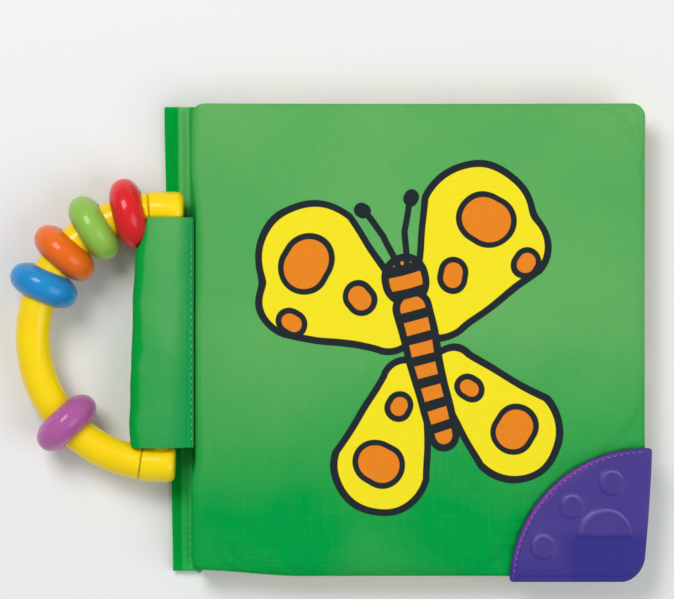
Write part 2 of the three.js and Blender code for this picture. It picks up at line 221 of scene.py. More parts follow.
def group(name, inputs, formula):
    """A node group. Inputs without a number are vectors, and its formula returns named results."""
    tree = bpy.data.node_groups.new(name, "ShaderNodeTree")
    for label, start in inputs.items():
        kind = "NodeSocketVector" if start is None else "NodeSocketFloat"
        socket = tree.interface.new_socket(name=label, in_out="INPUT", socket_type=kind)
        if start is not None:
            socket.default_value = start
    given = tree.nodes.new("NodeGroupInput").outputs
    results = formula(*(given[label] for label in inputs))
    for label in results:
        tree.interface.new_socket(name=label, in_out="OUTPUT", socket_type="NodeSocketFloat")
    feed(tree.nodes.new("NodeGroupOutput"), results)
    return tree


def use(made, feeds):
    """Places a node group where its feeds are, and returns its outputs."""
    return node("Group", feeds, node_tree=made).outputs


# %% [markdown]
# ## Effects that several materials share
# All cloth here is the same thin weave, so the weave is one group with the thread spacing as its input. It
# follows the piece's own UV map, which holds millimetres along the cloth, so the threads stay on it when it
# bends at a hinge. Slubs, which are the odd paler and darker threads, broad tone and scuffs are groups too.

# %% Weave and slubs


def weave_formula(cloth, thread):
    place = spanned(cloth, thread)
    u, v, _ = axes(place)
    warp, weft = (maths("ABSOLUTE", maths("SINE", times(way, math.pi))) for way in (u, v))
    over = maths("PINGPONG", plus(maths("FLOOR", u), maths("FLOOR", v)), 1.0)
    high = node("Mix", {0: over, 2: warp, 3: weft}).outputs[0]
    return {"Height": high, "Shade": times(high, cloud(place, 0.22, 2.0))}


def slub_formula(cloth, reach):
    place = spanned(cloth, reach)
    ways = ((7.0, 0.5, 1.0), (0.7, 9.0, 1.0))
    down, across = (cloud(vectors("MULTIPLY", place, way), 1.0, 3.0) for way in ways)
    return {"Share": times(plus(down, across), 0.5)}


weave = group("weave", {"Cloth": None, "Thread": 0.35}, weave_formula)
slubs = group("slubs", {"Cloth": None, "Length": 9.0}, slub_formula)

# %% Broad tone and fine scuffs


def tone_formula(place, span, contrast):
    apart = times(minus(cloud(spanned(place, span), 1.0, 3.0, Roughness=0.45), 0.5), contrast)
    return {"Share": plus(apart, 0.5, clamp=True)}


def scuff_formula(place, size):
    place = spanned(place, size)
    lines = cloud(vectors("MULTIPLY", place, (1.0, 6.0, 1.0)), 1.3, 5.0)
    return {"Height": cloud(place, 1.0, 4.0, Roughness=0.6), "Mask": ramp(lines, 0.58, 0.72)}


broad_tone = group("broad_tone", {"Place": None, "Span": 60.0, "Contrast": 1.0}, tone_formula)
fine_scuffs = group("fine_scuffs", {"Place": None, "Size": 3.0}, scuff_formula)
print("node groups:", ", ".join(g.name for g in bpy.data.node_groups))

# %% [markdown]
# ## Distance shapes for the cover print
# A printed motif needs crisp edges at any size. Each part of it is a bar with two round ends of their own
# radius, and the group gives the distance to its edge. The smallest of several distances joins bars into
# one outline, and a band of that distance is an even line round it.

# %% Rounded bar


def bar_formula(point, start, end, start_radius, end_radius):
    reach, run = vectors("SUBTRACT", point, start), vectors("SUBTRACT", end, start)
    along, whole = (vectors("DOT_PRODUCT", way, run, result="Value") for way in (reach, run))
    share = maths("DIVIDE", along, plus(whole, 0.0001), clamp=True)
    away = vectors("SUBTRACT", reach, vectors("SCALE", run, Scale=share))
    radius = node("Mix", {0: share, 2: start_radius, 3: end_radius}).outputs[0]
    return {"Distance": minus(length(away), radius)}


BAR_INPUTS = {"Point": None, "From": None, "To": None, "Start radius": 1.0, "End radius": 1.0}
rounded_bar = group("rounded_bar", BAR_INPUTS, bar_formula)


def bar(point, start, end, start_radius, end_radius=None):
    """The distance from a point to a bar with round ends, in millimetres."""
    measures = ((*start, 0), (*end, 0), start_radius, end_radius or start_radius)
    return use(rounded_bar, dict(zip(BAR_INPUTS, (point, *measures))))["Distance"]


def inside(distance, grow=0.0, soft=0.12):
    """1 inside a distance shape that is grown by a width, 0 outside it."""
    return ramp(distance, grow + soft, grow - soft)


def nearest(*distances, soft=0.0):
    """Joins distance shapes into one."""
    joined = distances[0]
    for other in distances[1:]:
        joined = maths("SMOOTH_MIN", joined, other, soft) if soft else maths("MINIMUM", joined, other)
    return joined


def bars(point, *parts, soft=0.0):
    return nearest(*(bar(point, *part) for part in parts), soft=soft)


def band_mask(value, low, high, soft):
    """1 between two values, fading over a soft width outside them."""
    return times(ramp(value, low - soft, low), ramp(value, high, high + soft, 1.0, 0.0))


# %% [markdown]
# ## Cloth materials
# The cloth is a smooth polyester: a little sheen, a fine weave, and broad lighter and deeper areas at random.
# The cover, the tape and the sleeve also carry painted light: paler towards the head, deeper towards the
# foot. One function makes every colour of it, and a print can be laid on top.

# %% Cloth material


def cloth_material(name, light, deep, span=70.0, paint=None, painted_light_fall=None):
    """Woven cloth with broad tone between two colours, optional painted light that leaves it paler towards
    the head and deeper towards the foot, and an optional print.
    """
    material, shader = new_material(name)
    uv = node("UVMap", {}, tree=shader.id_data, uv_map="cloth").outputs[0]
    place = vectors("SCALE", uv, Scale=100.0)
    share = use(broad_tone, {"Place": place, "Span": span, "Contrast": 2.2})["Share"]
    if painted_light_fall is not None:
        # Painted light: lower down, the share moves towards the deeper colour, as less light reaches the foot
        start, end, most = painted_light_fall
        share = plus(times(share, 0.5), ramp(axes(place)[1], start, end, -0.1, most), clamp=True)
    odd_threads = minus(use(slubs, {"Cloth": place, "Length": 9.0})["Share"], 0.5)
    share = plus(share, times(odd_threads, -0.3), clamp=True)
    colour = blend(share, srgb(*light), srgb(*deep))
    if paint is not None:
        colour = paint(place, colour)
    threads = use(weave, {"Cloth": place, "Thread": 0.34})
    shade = ramp(threads["Shade"], 0.0, 0.6, 0.93, 1.03)
    creases = bump(cloud(place, 0.16, 3.0), 0.0008, 0.25)
    feed(shader, {
        "Base Color": vectors("SCALE", colour, Scale=shade), "Roughness": 0.62, "Specular IOR Level": 0.02,
        "Sheen Weight": 0.03, "Sheen Roughness": 0.4,
        "Normal": bump(threads["Height"], 0.00008, 0.5, Normal=creases),
    })
    return material


CHARCOAL = srgb(38, 46, 50)
PRINT_YELLOW = srgb(252, 234, 40)
PRINT_ORANGE = srgb(240, 138, 38)

# %% [markdown]
# ## The cover print
# The cover carries one large, flat, dark-outlined picture in yellow and orange: here a butterfly. Only one
# side of it is drawn, and the distance from its middle line is taken without its sign, which mirrors it.
# A slow noise moves the point a little first, as a drawn line wavers.

# %% Butterfly
BUTTERFLY_CENTRE = (0.0, -2.0)
BUTTERFLY_TURN = math.radians(-14)
OUTLINE = 2.7


def paint_butterfly(place, ground):
    waver = vectors("SUBTRACT", cloud(place, 0.035, 1.0, result="Color"), (0.5, 0.5, 0.5))
    place = vectors("ADD", place, vectors("SCALE", waver, Scale=3.0))
    centred = vectors("SUBTRACT", place, (*BUTTERFLY_CENTRE, 0))
    turned = node("VectorRotate", {"Vector": centred, "Angle": BUTTERFLY_TURN}, rotation_type="Z_AXIS")
    across, up, _ = axes(turned.outputs[0])
    point = flat_point(maths("ABSOLUTE", across), up)

    upper = bars(point, ((9, 10), (31, 40), 8, 19), ((12, 8), (41, 27), 5, 12), soft=4.0)
    wings = nearest(upper, bar(point, (9, -12), (25, -39), 7, 16), soft=1.2)
    body = bars(point, ((0, -34), (0, 14), 3.2, 4.6), ((0, 24), (0, 25), 6.2))
    feelers = bars(
        point, ((1.5, 29), (4, 42), 1.2), ((4, 42), (8.5, 52), 1.2), ((9.3, 53), (9.8, 53.5), 2.8)
    )
    spots = bars(
        point, ((33, 40), (35, 38), 7.6), ((17, 21), (18, 23), 3.4), ((44, 19), (45, 20), 3.0),
        ((25, -39), (27, -37), 6.2), ((13, -19), (14, -20), 2.8),
    )
    stripes = maths("PINGPONG", plus(up, 60.0), 4.2)
    banded = times(inside(body), inside(stripes, grow=2.4))
    return coats(
        ground,
        (inside(wings, grow=OUTLINE), CHARCOAL), (inside(wings), PRINT_YELLOW),
        (inside(spots, grow=OUTLINE * 0.8), CHARCOAL), (inside(spots), PRINT_ORANGE),
        (inside(body, grow=OUTLINE), CHARCOAL), (banded, PRINT_ORANGE), (inside(feelers), CHARCOAL),
    )


# %% Painted shade beside the spine: the cover, the tape and the sleeve
TAPE_SLANT = 0.0086


def paint_cover(place, ground):
    """The picture, and painted shade: a deeper green on the sunk strip of cover beside the spine."""
    from_spine = plus(axes(place)[0], times(cloud(place, 0.03, 2.0), 3.0))
    # Painted shade on the sunk strip of cover beside the spine
    painted_margin_shade = ramp(from_spine, -82.2, -79.0, 0.85, 0.0)
    return paint_butterfly(place, blend(painted_margin_shade, ground, srgb(8, 152, 60)))


def paint_tape(place, ground):
    """Painted shade: a deep band on the left, where the tape rounds away, and a dark groove on the right
    beside the cover, which slant with the tape.
    """
    x, y, _ = axes(place)
    slant = plus(x, times(y, TAPE_SLANT))
    return coats(
        ground,
        # Painted shade on the left side that rounds away, then painted shade in the groove on the right
        (ramp(slant, -90.4, -89.4, 1.0, 0.0), srgb(0, 168, 62)),
        (ramp(slant, -86.3, -85.6, 0.0, 0.85), srgb(0, 164, 62)),
    )


def paint_sleeve(place, ground):
    """Painted light and shade: the green is painted deeper where the sleeve slopes down to its seam and where
    it rounds under at its left fold, with painted shade in the groove beside the seam and a painted highlight
    on the raised strip between groove and seam.
    """
    either_way = maths("ABSOLUTE", axes(place)[0])
    round_bar = plus(either_way, times(cloud(place, 0.06, 2.0), 5.0))
    return coats(
        ground,
        # Painted shade where the top slopes down to the seam
        (ramp(round_bar, 18.0, 11.0, 0.0, 0.75), srgb(8, 164, 86)),
        # Painted shade where the sleeve rounds under at its left fold, deepest past the fold
        (ramp(round_bar, 22.0, 30.0, 0.0, 0.4), srgb(30, 162, 68)),
        (ramp(round_bar, 29.4, 30.6, 0.0, 0.95), srgb(0, 162, 62)),
        # Painted highlight on the raised strip between the groove and the seam
        (times(band_mask(either_way, -1.0, 6.6, 0.4), 0.7), srgb(80, 180, 100)),
        # Painted shade in the groove beside the seam
        (times(band_mask(either_way, 7.1, 7.7, 0.3), 0.6), srgb(4, 152, 72)),
    )


# %% Simple page prints


def paint_spots(size, gap, spot_colour):
    """Round spots in staggered rows, for a page."""
    def paint(place, ground):
        x, y, _ = axes(place)
        row = maths("FLOOR", maths("DIVIDE", y, gap))
        shifted = plus(x, times(maths("PINGPONG", row, 1.0), gap / 2))
        u, v = (minus(maths("FLOORED_MODULO", way, gap), gap / 2) for way in (shifted, y))
        distance = minus(length(flat_point(u, v)), size)
        return coats(ground, (inside(distance, grow=1.4), CHARCOAL), (inside(distance), spot_colour))
    return paint


def paint_waves(gap, line, wave_colour):
    """Wavy bands across a page."""
    def paint(place, ground):
        x, y, _ = axes(place)
        swing = times(maths("SINE", times(x, 0.16)), 4.0)
        across = maths("PINGPONG", plus(plus(y, swing), 300.0), gap)
        return blend(inside(minus(across, line)), ground, wave_colour)
    return paint


# The cover, the tape and the sleeve are painted paler at the head and deeper at the foot, as painted light
cover_cloth = cloth_material(
    "printed_cover_cloth", (104, 180, 100), (0, 162, 70), paint=paint_cover, painted_light_fall=(4.0, -66.0, 0.74)
)
plain_green = cloth_material("plain_green_cloth", (92, 176, 98), (44, 164, 84))
spine_green = cloth_material("spine_green_cloth", (44, 164, 76), (10, 152, 60), 30.0)
# The tape's greens are painted paler than its cloth, as painted light that lifts the shade it lies in beside
# the cover's edge and under the sleeve
tape_green = cloth_material(
    "tape_green_cloth", (104, 198, 108), (46, 192, 90), 26.0, paint_tape, painted_light_fall=(30.0, -60.0, 0.9)
)
sleeve_green = cloth_material(
    "sleeve_green_cloth", (98, 180, 102), (28, 160, 78), 30.0, paint_sleeve, painted_light_fall=(40.0, -40.0, 0.55)
)
lining_yellow = cloth_material("yellow_lining_cloth", (250, 222, 70), (240, 205, 45))
page_yellow, page_lime, page_blue, page_orange = (
    cloth_material(name + "_page_cloth", light, deep, paint=paint) for name, light, deep, paint in (
        ("yellow", (252, 228, 84), (244, 212, 58), paint_spots(9.0, 34.0, srgb(226, 60, 52))),
        ("lime", (176, 212, 92), (150, 196, 72), paint_waves(14.0, 4.0, srgb(40, 132, 200))),
        ("blue", (96, 178, 226), (70, 158, 214), paint_spots(11.0, 40.0, PRINT_YELLOW)),
        ("orange", (246, 158, 72), (238, 140, 54), paint_waves(18.0, 5.0, srgb(252, 236, 150))),
    )
)
print("cloth materials:", len([m for m in bpy.data.materials if "cloth" in m.name]))

# %% [markdown]
# ## Plastic, rubber, thread and filling
# The ring and beads are glossy moulded plastic, so a clear coat gives their sharp highlights over a slightly
# uneven skin. The teether is a softer, duller rubber, with a painted highlight on the upper stretches of its
# raised rings and a painted magenta highlight just inside its arc.

# %% Hard and rubber materials
# The teether's upper skin is an arc about its own centre, a little off the CAD's corner
TEETHER = {
    "corner": (85.4, -89.7), "radius": 51.4, "lip": 6.0, "bottom": 12.7, "lip_bottom": 16.45, "top": 18.2
}
ARC = {"centre": (83.4, -90.9), "radius": 50.8}
ARC_MIDDLE = (47.0, -55.0)
TEETHER_FIELD = 18.0


def plastic_material(name, colour, deep, roughness=0.3, coat=0.4, paint=None):
    """Moulded plastic with a faint flow tone, fine scuffs and an uneven skin."""
    material, shader = new_material(name)
    place = solid_place(shader)
    share = use(broad_tone, {"Place": place, "Span": 18.0, "Contrast": 1.6})["Share"]
    scuffs = use(fine_scuffs, {"Place": place, "Size": 2.4})
    tone = blend(share, srgb(*colour), srgb(*deep))
    if paint is not None:
        tone = paint(place, tone)
    feed(shader, {
        "Base Color": tone, "Roughness": ramp(scuffs["Mask"], 0.0, 1.0, roughness, roughness + 0.16),
        "Coat Weight": coat, "Coat Roughness": 0.07, "Specular IOR Level": 0.15,
        "Normal": bump(scuffs["Height"], 0.0001, 0.25),
    })
    return material


def paint_teether(place, ground):
    """A deeper tone below the half round, a painted highlight on the upper stretches of the raised rings and
    a painted magenta highlight just inside the arc.
    """
    x, y, _ = axes(place)
    low = maths("MAXIMUM", times(ramp(y, -70.5, -74.0), ramp(x, 48.0, 57.0)), ramp(y, -77.0, -88.0, 0.0, 0.7))
    # Painted highlight on the upper stretches of the raised rings, from a share stored on the teether's
    # points
    painted_ring_highlight = node("Attribute", {}, tree=place.id_data, attribute_name="ring_highlight").outputs["Fac"]
    from_centre, from_middle = (
        length(vectors("SUBTRACT", place, (*point, TEETHER_FIELD))) for point in (ARC["centre"], ARC_MIDDLE)
    )
    # Painted highlight: a magenta sheen just inside the arc, strongest about its middle
    line = band_mask(from_centre, ARC["radius"] - 1.3, ARC["radius"] - 0.9, 0.35)
    arc_highlight_fade = ramp(from_middle, 14.0, 34.0, 0.65, 0.1)
    return coats(
        ground, (low, srgb(50, 46, 134)), (times(painted_ring_highlight, 0.75), srgb(124, 112, 184)),
        (times(line, arc_highlight_fade), srgb(170, 44, 160)),
    )


ring_yellow = plastic_material("ring_yellow_plastic", (255, 224, 4), (252, 212, 0))
bead_finish = {
    name: plastic_material(name + "_plastic", colour, deep) for name, colour, deep in (
        ("bead_red", (232, 40, 44), (220, 20, 34)),
        ("bead_green", (164, 204, 88), (132, 190, 72)),
        ("bead_orange", (242, 118, 22), (234, 92, 8)),
        ("bead_blue", (40, 148, 212), (4, 130, 200)),
        ("bead_purple", (190, 104, 170), (170, 76, 152)),
    )
}
teether_rubber = plastic_material(
    "teether_purple_rubber", (76, 60, 142), (66, 54, 138), roughness=0.5, coat=0.1, paint=paint_teether
)

# %% Thread, wadding and film


def darker(colour, share):
    return (*(level * share for level in colour[:3]), 1.0)


def thread_material(name, *levels):
    """Twisted sewing thread: fine bands that wind round it."""
    material, shader = new_material(name)
    bands = {"Vector": solid_place(shader), "Scale": 1.6, "Distortion": 1.0}
    twist = node("TexWave", bands, bands_direction="DIAGONAL").outputs["Fac"]
    colour = srgb(*levels)
    feed(shader, {
        "Base Color": blend(twist, darker(colour, 0.7), colour), "Roughness": 0.6, "Sheen Weight": 0.2,
        "Normal": bump(twist, 0.0001, 0.5),
    })
    return material


def filling_material(name, levels, roughness, span, alpha=1.0):
    """Hidden filling: fibres in the wadding or ripples in the film."""
    material, shader = new_material(name)
    fibres = use(fine_scuffs, {"Place": solid_place(shader), "Size": span})["Height"]
    colour = srgb(*levels)
    feed(shader, {
        "Base Color": blend(fibres, darker(colour, 0.82), colour), "Roughness": roughness, "Alpha": alpha,
        "Normal": bump(fibres, 0.0004, 0.6),
    })
    return material


pale_thread = thread_material("pale_green_thread", 124, 204, 130)
purple_thread = thread_material("purple_thread", 150, 120, 196)
wadding_white = filling_material("white_wadding", (244, 242, 236), 0.95, 1.2)
crackle_film = filling_material("clear_crackle_film", (226, 234, 238), 0.18, 5.0, alpha=0.55)
for name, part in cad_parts.items():
    if "wadding" in name or "film" in name:
        part.data.materials.clear()
        part.data.materials.append(wadding_white if "wadding" in name else crackle_film)

# %% [markdown]
# ## Turning a bmesh into a piece
# Pieces are modelled in millimetres and all finished in the same way: doubles are merged, faces turned
# outwards, the size is changed to metres, and materials are given.

# %% Finish a piece


def finished(bm, name, materials, smooth=True, merge=0.001):
    """A mesh object from a bmesh in millimetres."""
    if merge:
        bmesh.ops.remove_doubles(bm, verts=bm.verts, dist=merge)
    bmesh.ops.recalc_face_normals(bm, faces=bm.faces)
    bmesh.ops.scale(bm, vec=(MM, MM, MM), verts=bm.verts)
    mesh = bpy.data.meshes.new(name)
    bm.to_mesh(mesh)
    bm.free()
    for material in materials:
        mesh.materials.append(material)
    mesh.polygons.foreach_set("use_smooth", [smooth] * len(mesh.polygons))
    made = bpy.data.objects.new(name, mesh)
    bpy.context.collection.objects.link(made)
    return made


def baked(piece):
    """Applies a piece's modifiers."""
    graph = bpy.context.evaluated_depsgraph_get()
    mesh = bpy.data.meshes.new_from_object(piece.evaluated_get(graph))
    piece.modifiers.clear()
    old, piece.data = piece.data, mesh
    bpy.data.meshes.remove(old)
    return piece


def combined(piece, operation, *others):
    """Cuts other pieces out of a piece or joins them to it, and takes them away."""
    for other in others:
        made = piece.modifiers.new("combine", "BOOLEAN")
        made.object, made.operation, made.solver = other, operation, "EXACT"
    baked(piece)
    for other in others:
        bpy.data.objects.remove(other)
    return piece


# %% Sheets and loops


def two_sheets(bm, across, along):
    """A closed grid of two sheets, one unit wide. The points of the upper sheet are returned."""
    bmesh.ops.create_grid(bm, x_segments=across, y_segments=along, size=0.5)
    top = set(bm.verts)
    bmesh.ops.extrude_face_region(bm, geom=bm.faces[:])
    return top


def map_cloth(bm, flat, girth=math.inf):
    """Writes the cloth's UV map from the points' flat places in millimetres. A loop of cloth gives its girth,
    so that no face at its cut runs back over the map."""
    layer = bm.loops.layers.uv.new("cloth")
    for face in bm.faces:
        places = [flat[vert][0] for vert in face.verts]
        wrap = max(places) - min(places) > girth / 2
        for loop in face.loops:
            u, v = flat[loop.vert]
            loop[layer].uv = ((u + girth if wrap and u < 0 else u) / 100, v / 100)


def edges_of(points):
    """All edges at some points."""
    return list({edge for point in points for edge in point.link_edges})


def open_loops(bm):
    """The boundary edges of a mesh."""
    return [edge for edge in bm.edges if edge.is_boundary]


def extruded(bm, edges):
    """Extrudes a loop of edges. The new points and the new loop are returned."""
    grown = bmesh.ops.extrude_edge_only(bm, edges=edges)["geom"]
    points = {g for g in grown if isinstance(g, bmesh.types.BMVert)}
    return points, [g for g in grown if isinstance(g, bmesh.types.BMEdge) and set(g.verts) <= points]


# %% Shares and curves


def clamp(value, low=0.0, high=1.0):
    return max(low, min(high, value))


def ease(share):
    """0 to 1 with level ends."""
    share = clamp(share)
    return share * share * (3 - 2 * share)


def rounded(distance, reach):
    """Rises steeply from 0 and levels out at 1 at its reach."""
    return math.sqrt(1 - (1 - clamp(distance / reach)) ** 2)


def wavy(*place):
    """Soft noise from about -1 to 1."""
    return noise.noise(Vector(place))


def along_table(table, value):
    """Reads a table of (value, result) with straight lines between its rows."""
    for (low, first), (high, second) in zip(table, table[1:]):
        if value <= high:
            return first + (second - first) * (value - low) / (high - low)
    return table[-1][1]


# %% [markdown]
# ## The padded leaves
# A cover or page is two cloths sewn face to face, turned out and filled. It is thin at its seam, swells
# steeply beside it and levels out, and its sides draw in a little between the corners. A grid is extruded
# into two sheets, and its points, closer together by the seams, are moved to the leaf's form. Small puckers
# run in from the seam, as the filling pulls on the stitches.

# %% Leaf form
COVER_HALF = 87.0
PAGE_LEFT = -80.9
LEAF = {"corner": 5.0, "pull": 0.2, "reach": 14.0}
RIM = {"half": 0.3, "round": 1.3, "rise": 0.65}
EDGE_CLOSE = 0.72


def spaced(share, reach):
    """Distance along a side, with the points closer together by both seams."""
    return reach * (share - EDGE_CLOSE / (2 * math.pi) * math.sin(2 * math.pi * share))


def leaf_place(u, v, width, height, left):
    """Where a grid point of a leaf lies, its distance to the seam, and how far inside it is."""
    r = LEAF["corner"]
    cu, cv = clamp(u, r, width - r), clamp(v, r, height - r)
    a, b = (u - cu) / r, (v - cv) / r
    round_a, round_b = a * math.sqrt(1 - b * b / 2), b * math.sqrt(1 - a * a / 2)
    edge = min(u, width - u, v, height - v)
    if a and b:
        edge = r * (1 - math.hypot(round_a, round_b))
    share_u, share_v = (cu + r * round_a) / width, (cv + r * round_b) / height
    bow_u, bow_v = 1 - (2 * share_u - 1) ** 2, 1 - (2 * share_v - 1) ** 2
    x = left + share_u * (width - LEAF["pull"] * bow_v)
    y = (2 * share_v - 1) * (height / 2 - LEAF["pull"] * bow_u)
    return x, y, max(edge, 0.0), bow_u * bow_v


def drawn_cover(x, y):
    """The sewn cover isn't quite square: its left edge leans out above and below the sleeve, its foot hangs
    a little and its lower left corner is drawn up."""
    near_spine = clamp((-60 - x) / 24)
    x -= near_spine * (1.7 * ease((y - 46) / 18) + 1.5 * ease((-44 - y) / 12))
    low = clamp(-y / COVER_HALF)
    y += low * (2.4 * ease((-44 - x) / 40) - 0.8) + 0.5 * clamp(y / COVER_HALF)
    return x, y


def pucker(x, y, edge, seed):
    """Short gathers that run in from the seam and die away."""
    near = rounded(edge, 2.5) * math.exp(-edge / 9.0)
    return near * (0.9 * wavy(x * 0.11, y * 0.11, seed) + 0.35 * wavy(x * 0.3, y * 0.3, seed + 7))


def undulation(x, y, seed):
    """The broad hills and hollows of a thin pad that has been handled."""
    return wavy(x / 42, y / 42, seed) + 0.4 * wavy(x / 17, y / 17, seed + 3)


# %% Let the filling push the cloth
SIM_SCALE = 10
SIM_FRAMES = 20
MOST = 0.9


def plump(piece, held):
    """Cloth simulation of a leaf: the cloth grows a little and is pushed from inside, and gathers beside the
    seams that hold it. It runs at ten times the size. No point travels further than the most, in millimetres,
    and the cloth beside the spine, where the beads swing over it, stays flat."""
    rest = [vert.co.copy() for vert in piece.data.vertices]
    pins = piece.vertex_groups.new(name="held")
    pins.add(held, 1.0, "REPLACE")
    for vert in piece.data.vertices:
        vert.co *= SIM_SCALE
    made = piece.modifiers.new("cloth", "CLOTH")
    for key, value in {
        "quality": 5, "mass": 0.15, "tension_stiffness": 12, "compression_stiffness": 12,
        "shear_stiffness": 4, "bending_stiffness": 0.12, "shrink_min": -0.03, "use_pressure": True,
        "uniform_pressure_force": 2.0, "vertex_group_mass": "held",
    }.items():
        setattr(made.settings, key, value)
    made.settings.effector_weights.gravity = 0
    made.point_cache.frame_start, made.point_cache.frame_end = 1, SIM_FRAMES
    for moment in range(1, SIM_FRAMES + 1):
        bpy.context.scene.frame_set(moment)
    baked(piece)
    bpy.context.scene.frame_set(1)
    furthest = 0.0
    for vert, old in zip(piece.data.vertices, rest):
        step = (vert.co / SIM_SCALE - old) / MM
        far = step.length
        furthest = max(furthest, far)
        if far > 1e-6:
            step *= MOST * math.tanh(far / MOST) / far * ease((old.x / MM + 79) / 12)
        vert.co = old + step * MM
    piece.vertex_groups.clear()
    print(f"{piece.name}: the cloth moved up to {furthest:.2f} mm, kept to {MOST} mm")
    return piece


# %% Leaf builder


def padded_leaf(name, materials, seam, thickness, right, cells,
                left=PAGE_LEFT, inset=0.0, crown=0.0, soft=0.1, lip=None):
    """One closed, filled leaf with a material on top and one underneath. The front cover's lip is the round
    of the teether on it, as x, y and radius."""
    bm = bmesh.new()
    top = two_sheets(bm, cells, cells)
    width, height = right - left, 2 * (COVER_HALF - inset)
    full = thickness / 2 - RIM["half"] - RIM["rise"]
    flat, held = {}, []
    for index, vert in enumerate(bm.verts):
        u, v = spaced(vert.co.x + 0.5, width), spaced(vert.co.y + 0.5, height)
        x, y, edge, bow = leaf_place(u, v, width, height, left)
        flat[vert] = (x, y)
        side = 1 if vert in top else -1
        if lip:
            edge = min(edge, max(math.hypot(x - lip[0], y - lip[1]) - lip[2], 0.0))
        if side < 0 or edge < 1.2:
            held.append(index)
        rise, calm = full * rounded(edge, LEAF["reach"]), 1.0
        if lip:
            # The beads swing over the cover's spine side, which rises slowly and has no waves
            rise, calm = min(rise, full * ease((x + 84.5) / 10.5)), ease((x + 82) / 14)
        level = RIM["half"] + RIM["rise"] * rounded(edge, RIM["round"]) + rise
        inner = rounded(edge, 2 * LEAF["reach"])
        seed = seam + side
        wave = calm * soft * (undulation(x, y, seed) * inner + pucker(x, y, edge, seed))
        swell, wave = (crown * bow * inner, wave) if side > 0 else (0.0, 0.4 * abs(wave))
        vert.co = (*(drawn_cover(x, y) if lip else (x, y)), seam + side * (level + swell) + wave)
    for face in bm.faces:
        face.material_index = 0 if sum(vert in top for vert in face.verts) > 0.4 * len(face.verts) else 1
    map_cloth(bm, flat)
    piece = finished(bm, name, materials, merge=0)
    return plump(piece, held) if lip else piece


# %% The four leaves
front = padded_leaf(
    "front_cover", [cover_cloth, lining_yellow], seam=15.2, thickness=5.0, left=-83.7, right=83.0, cells=112,
    crown=0.8, soft=0.42, lip=(*ARC["centre"], ARC["radius"] + 0.4),
)
PAGE = {"thickness": 3.6, "right": 81.5, "inset": 1.5, "cells": 56}
page_1 = padded_leaf("page_1", [page_yellow, page_lime], seam=10.6, **PAGE)
page_2 = padded_leaf("page_2", [page_blue, page_orange], seam=6.7, **PAGE)
back = padded_leaf("back_cover", [page_lime, plain_green], seam=2.3, thickness=4.6, right=83.0, cells=64)

# The teether's body stands in a round column that is cut out of the cover
bm = bmesh.new()
hole = TEETHER["radius"] - TEETHER["lip"]
bmesh.ops.create_cone(
    bm, cap_ends=True, segments=160, radius1=hole, radius2=hole, depth=60,
    matrix=Matrix.Translation((*TEETHER["corner"], 12)),
)
combined(front, "DIFFERENCE", finished(bm, "column", []))

for leaf, replaced in (
    (front, ("front_cover_cloth", "front_cover_lining")),
    (page_1, ("page_1_upper_cloth", "page_1_lower_cloth")),
    (page_2, ("page_2_upper_cloth", "page_2_lower_cloth")),
    (back, ("back_cover_lining", "back_cover_cloth")),
):
    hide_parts(*replaced)
    print(leaf.name, len(leaf.data.polygons), "faces")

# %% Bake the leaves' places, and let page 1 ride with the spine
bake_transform(front)
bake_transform(page_2)
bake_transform(back)
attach(page_1, "spine")

# %% [markdown]
# ## Spine cloth and binding tape
# The spine is a doubled strip of cloth that stands behind the leaves. Outside it runs the binding tape,
# a folded strip with a row of stitches beside its fold, wider at the head than at the foot.

# %% Spine cloth
SPINE_HALF = 86.5
SPINE_FLOOR, SPINE_HEIGHT = 0.3, 14.3


def soft_slab(name, across, along, form, material):
    """A closed strip. Its form gives a place, and one on the flat cloth, for (share, share, side)."""
    bm, flat = bmesh.new(), {}
    top = two_sheets(bm, across, along)
    for vert in bm.verts:
        vert.co, flat[vert] = form(vert.co.x + 0.5, vert.co.y + 0.5, 1 if vert in top else -1)
    map_cloth(bm, flat)
    return finished(bm, name, [material], merge=0)


def spine_form(up, along, side):
    """A standing strip that bulges outwards a little between the rows of stitches."""
    y = (2 * spaced(along, 1.0) - 1) * SPINE_HALF
    z = SPINE_FLOOR + SPINE_HEIGHT * spaced(up, 1.0)
    edge = min(z - SPINE_FLOOR, SPINE_FLOOR + SPINE_HEIGHT - z, SPINE_HALF - abs(y))
    thick = 0.25 + 0.75 * rounded(edge, 1.2)
    bulge = 0.35 * math.sin(math.pi * up) + 0.12 * wavy(y * 0.12, z * 0.3, 5)
    return (SPINE_X + 0.8 - side * thick - (bulge if side > 0 else 0.0), y, z), (z, y)


spine_strip = soft_slab("spine_strip", 14, 110, spine_form, spine_green)
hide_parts("spine_cloth")
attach(spine_strip, "spine")

# %% Binding tape
TAPE = {"head": 13.0, "foot": 9.7, "floor": 0.6, "thick": 3.0, "right": -0.25}


def stitch_x(y):
    """Where the tape's row of stitches runs: it slants with the tape."""
    return SPINE_X - 4.0 - TAPE_SLANT * y


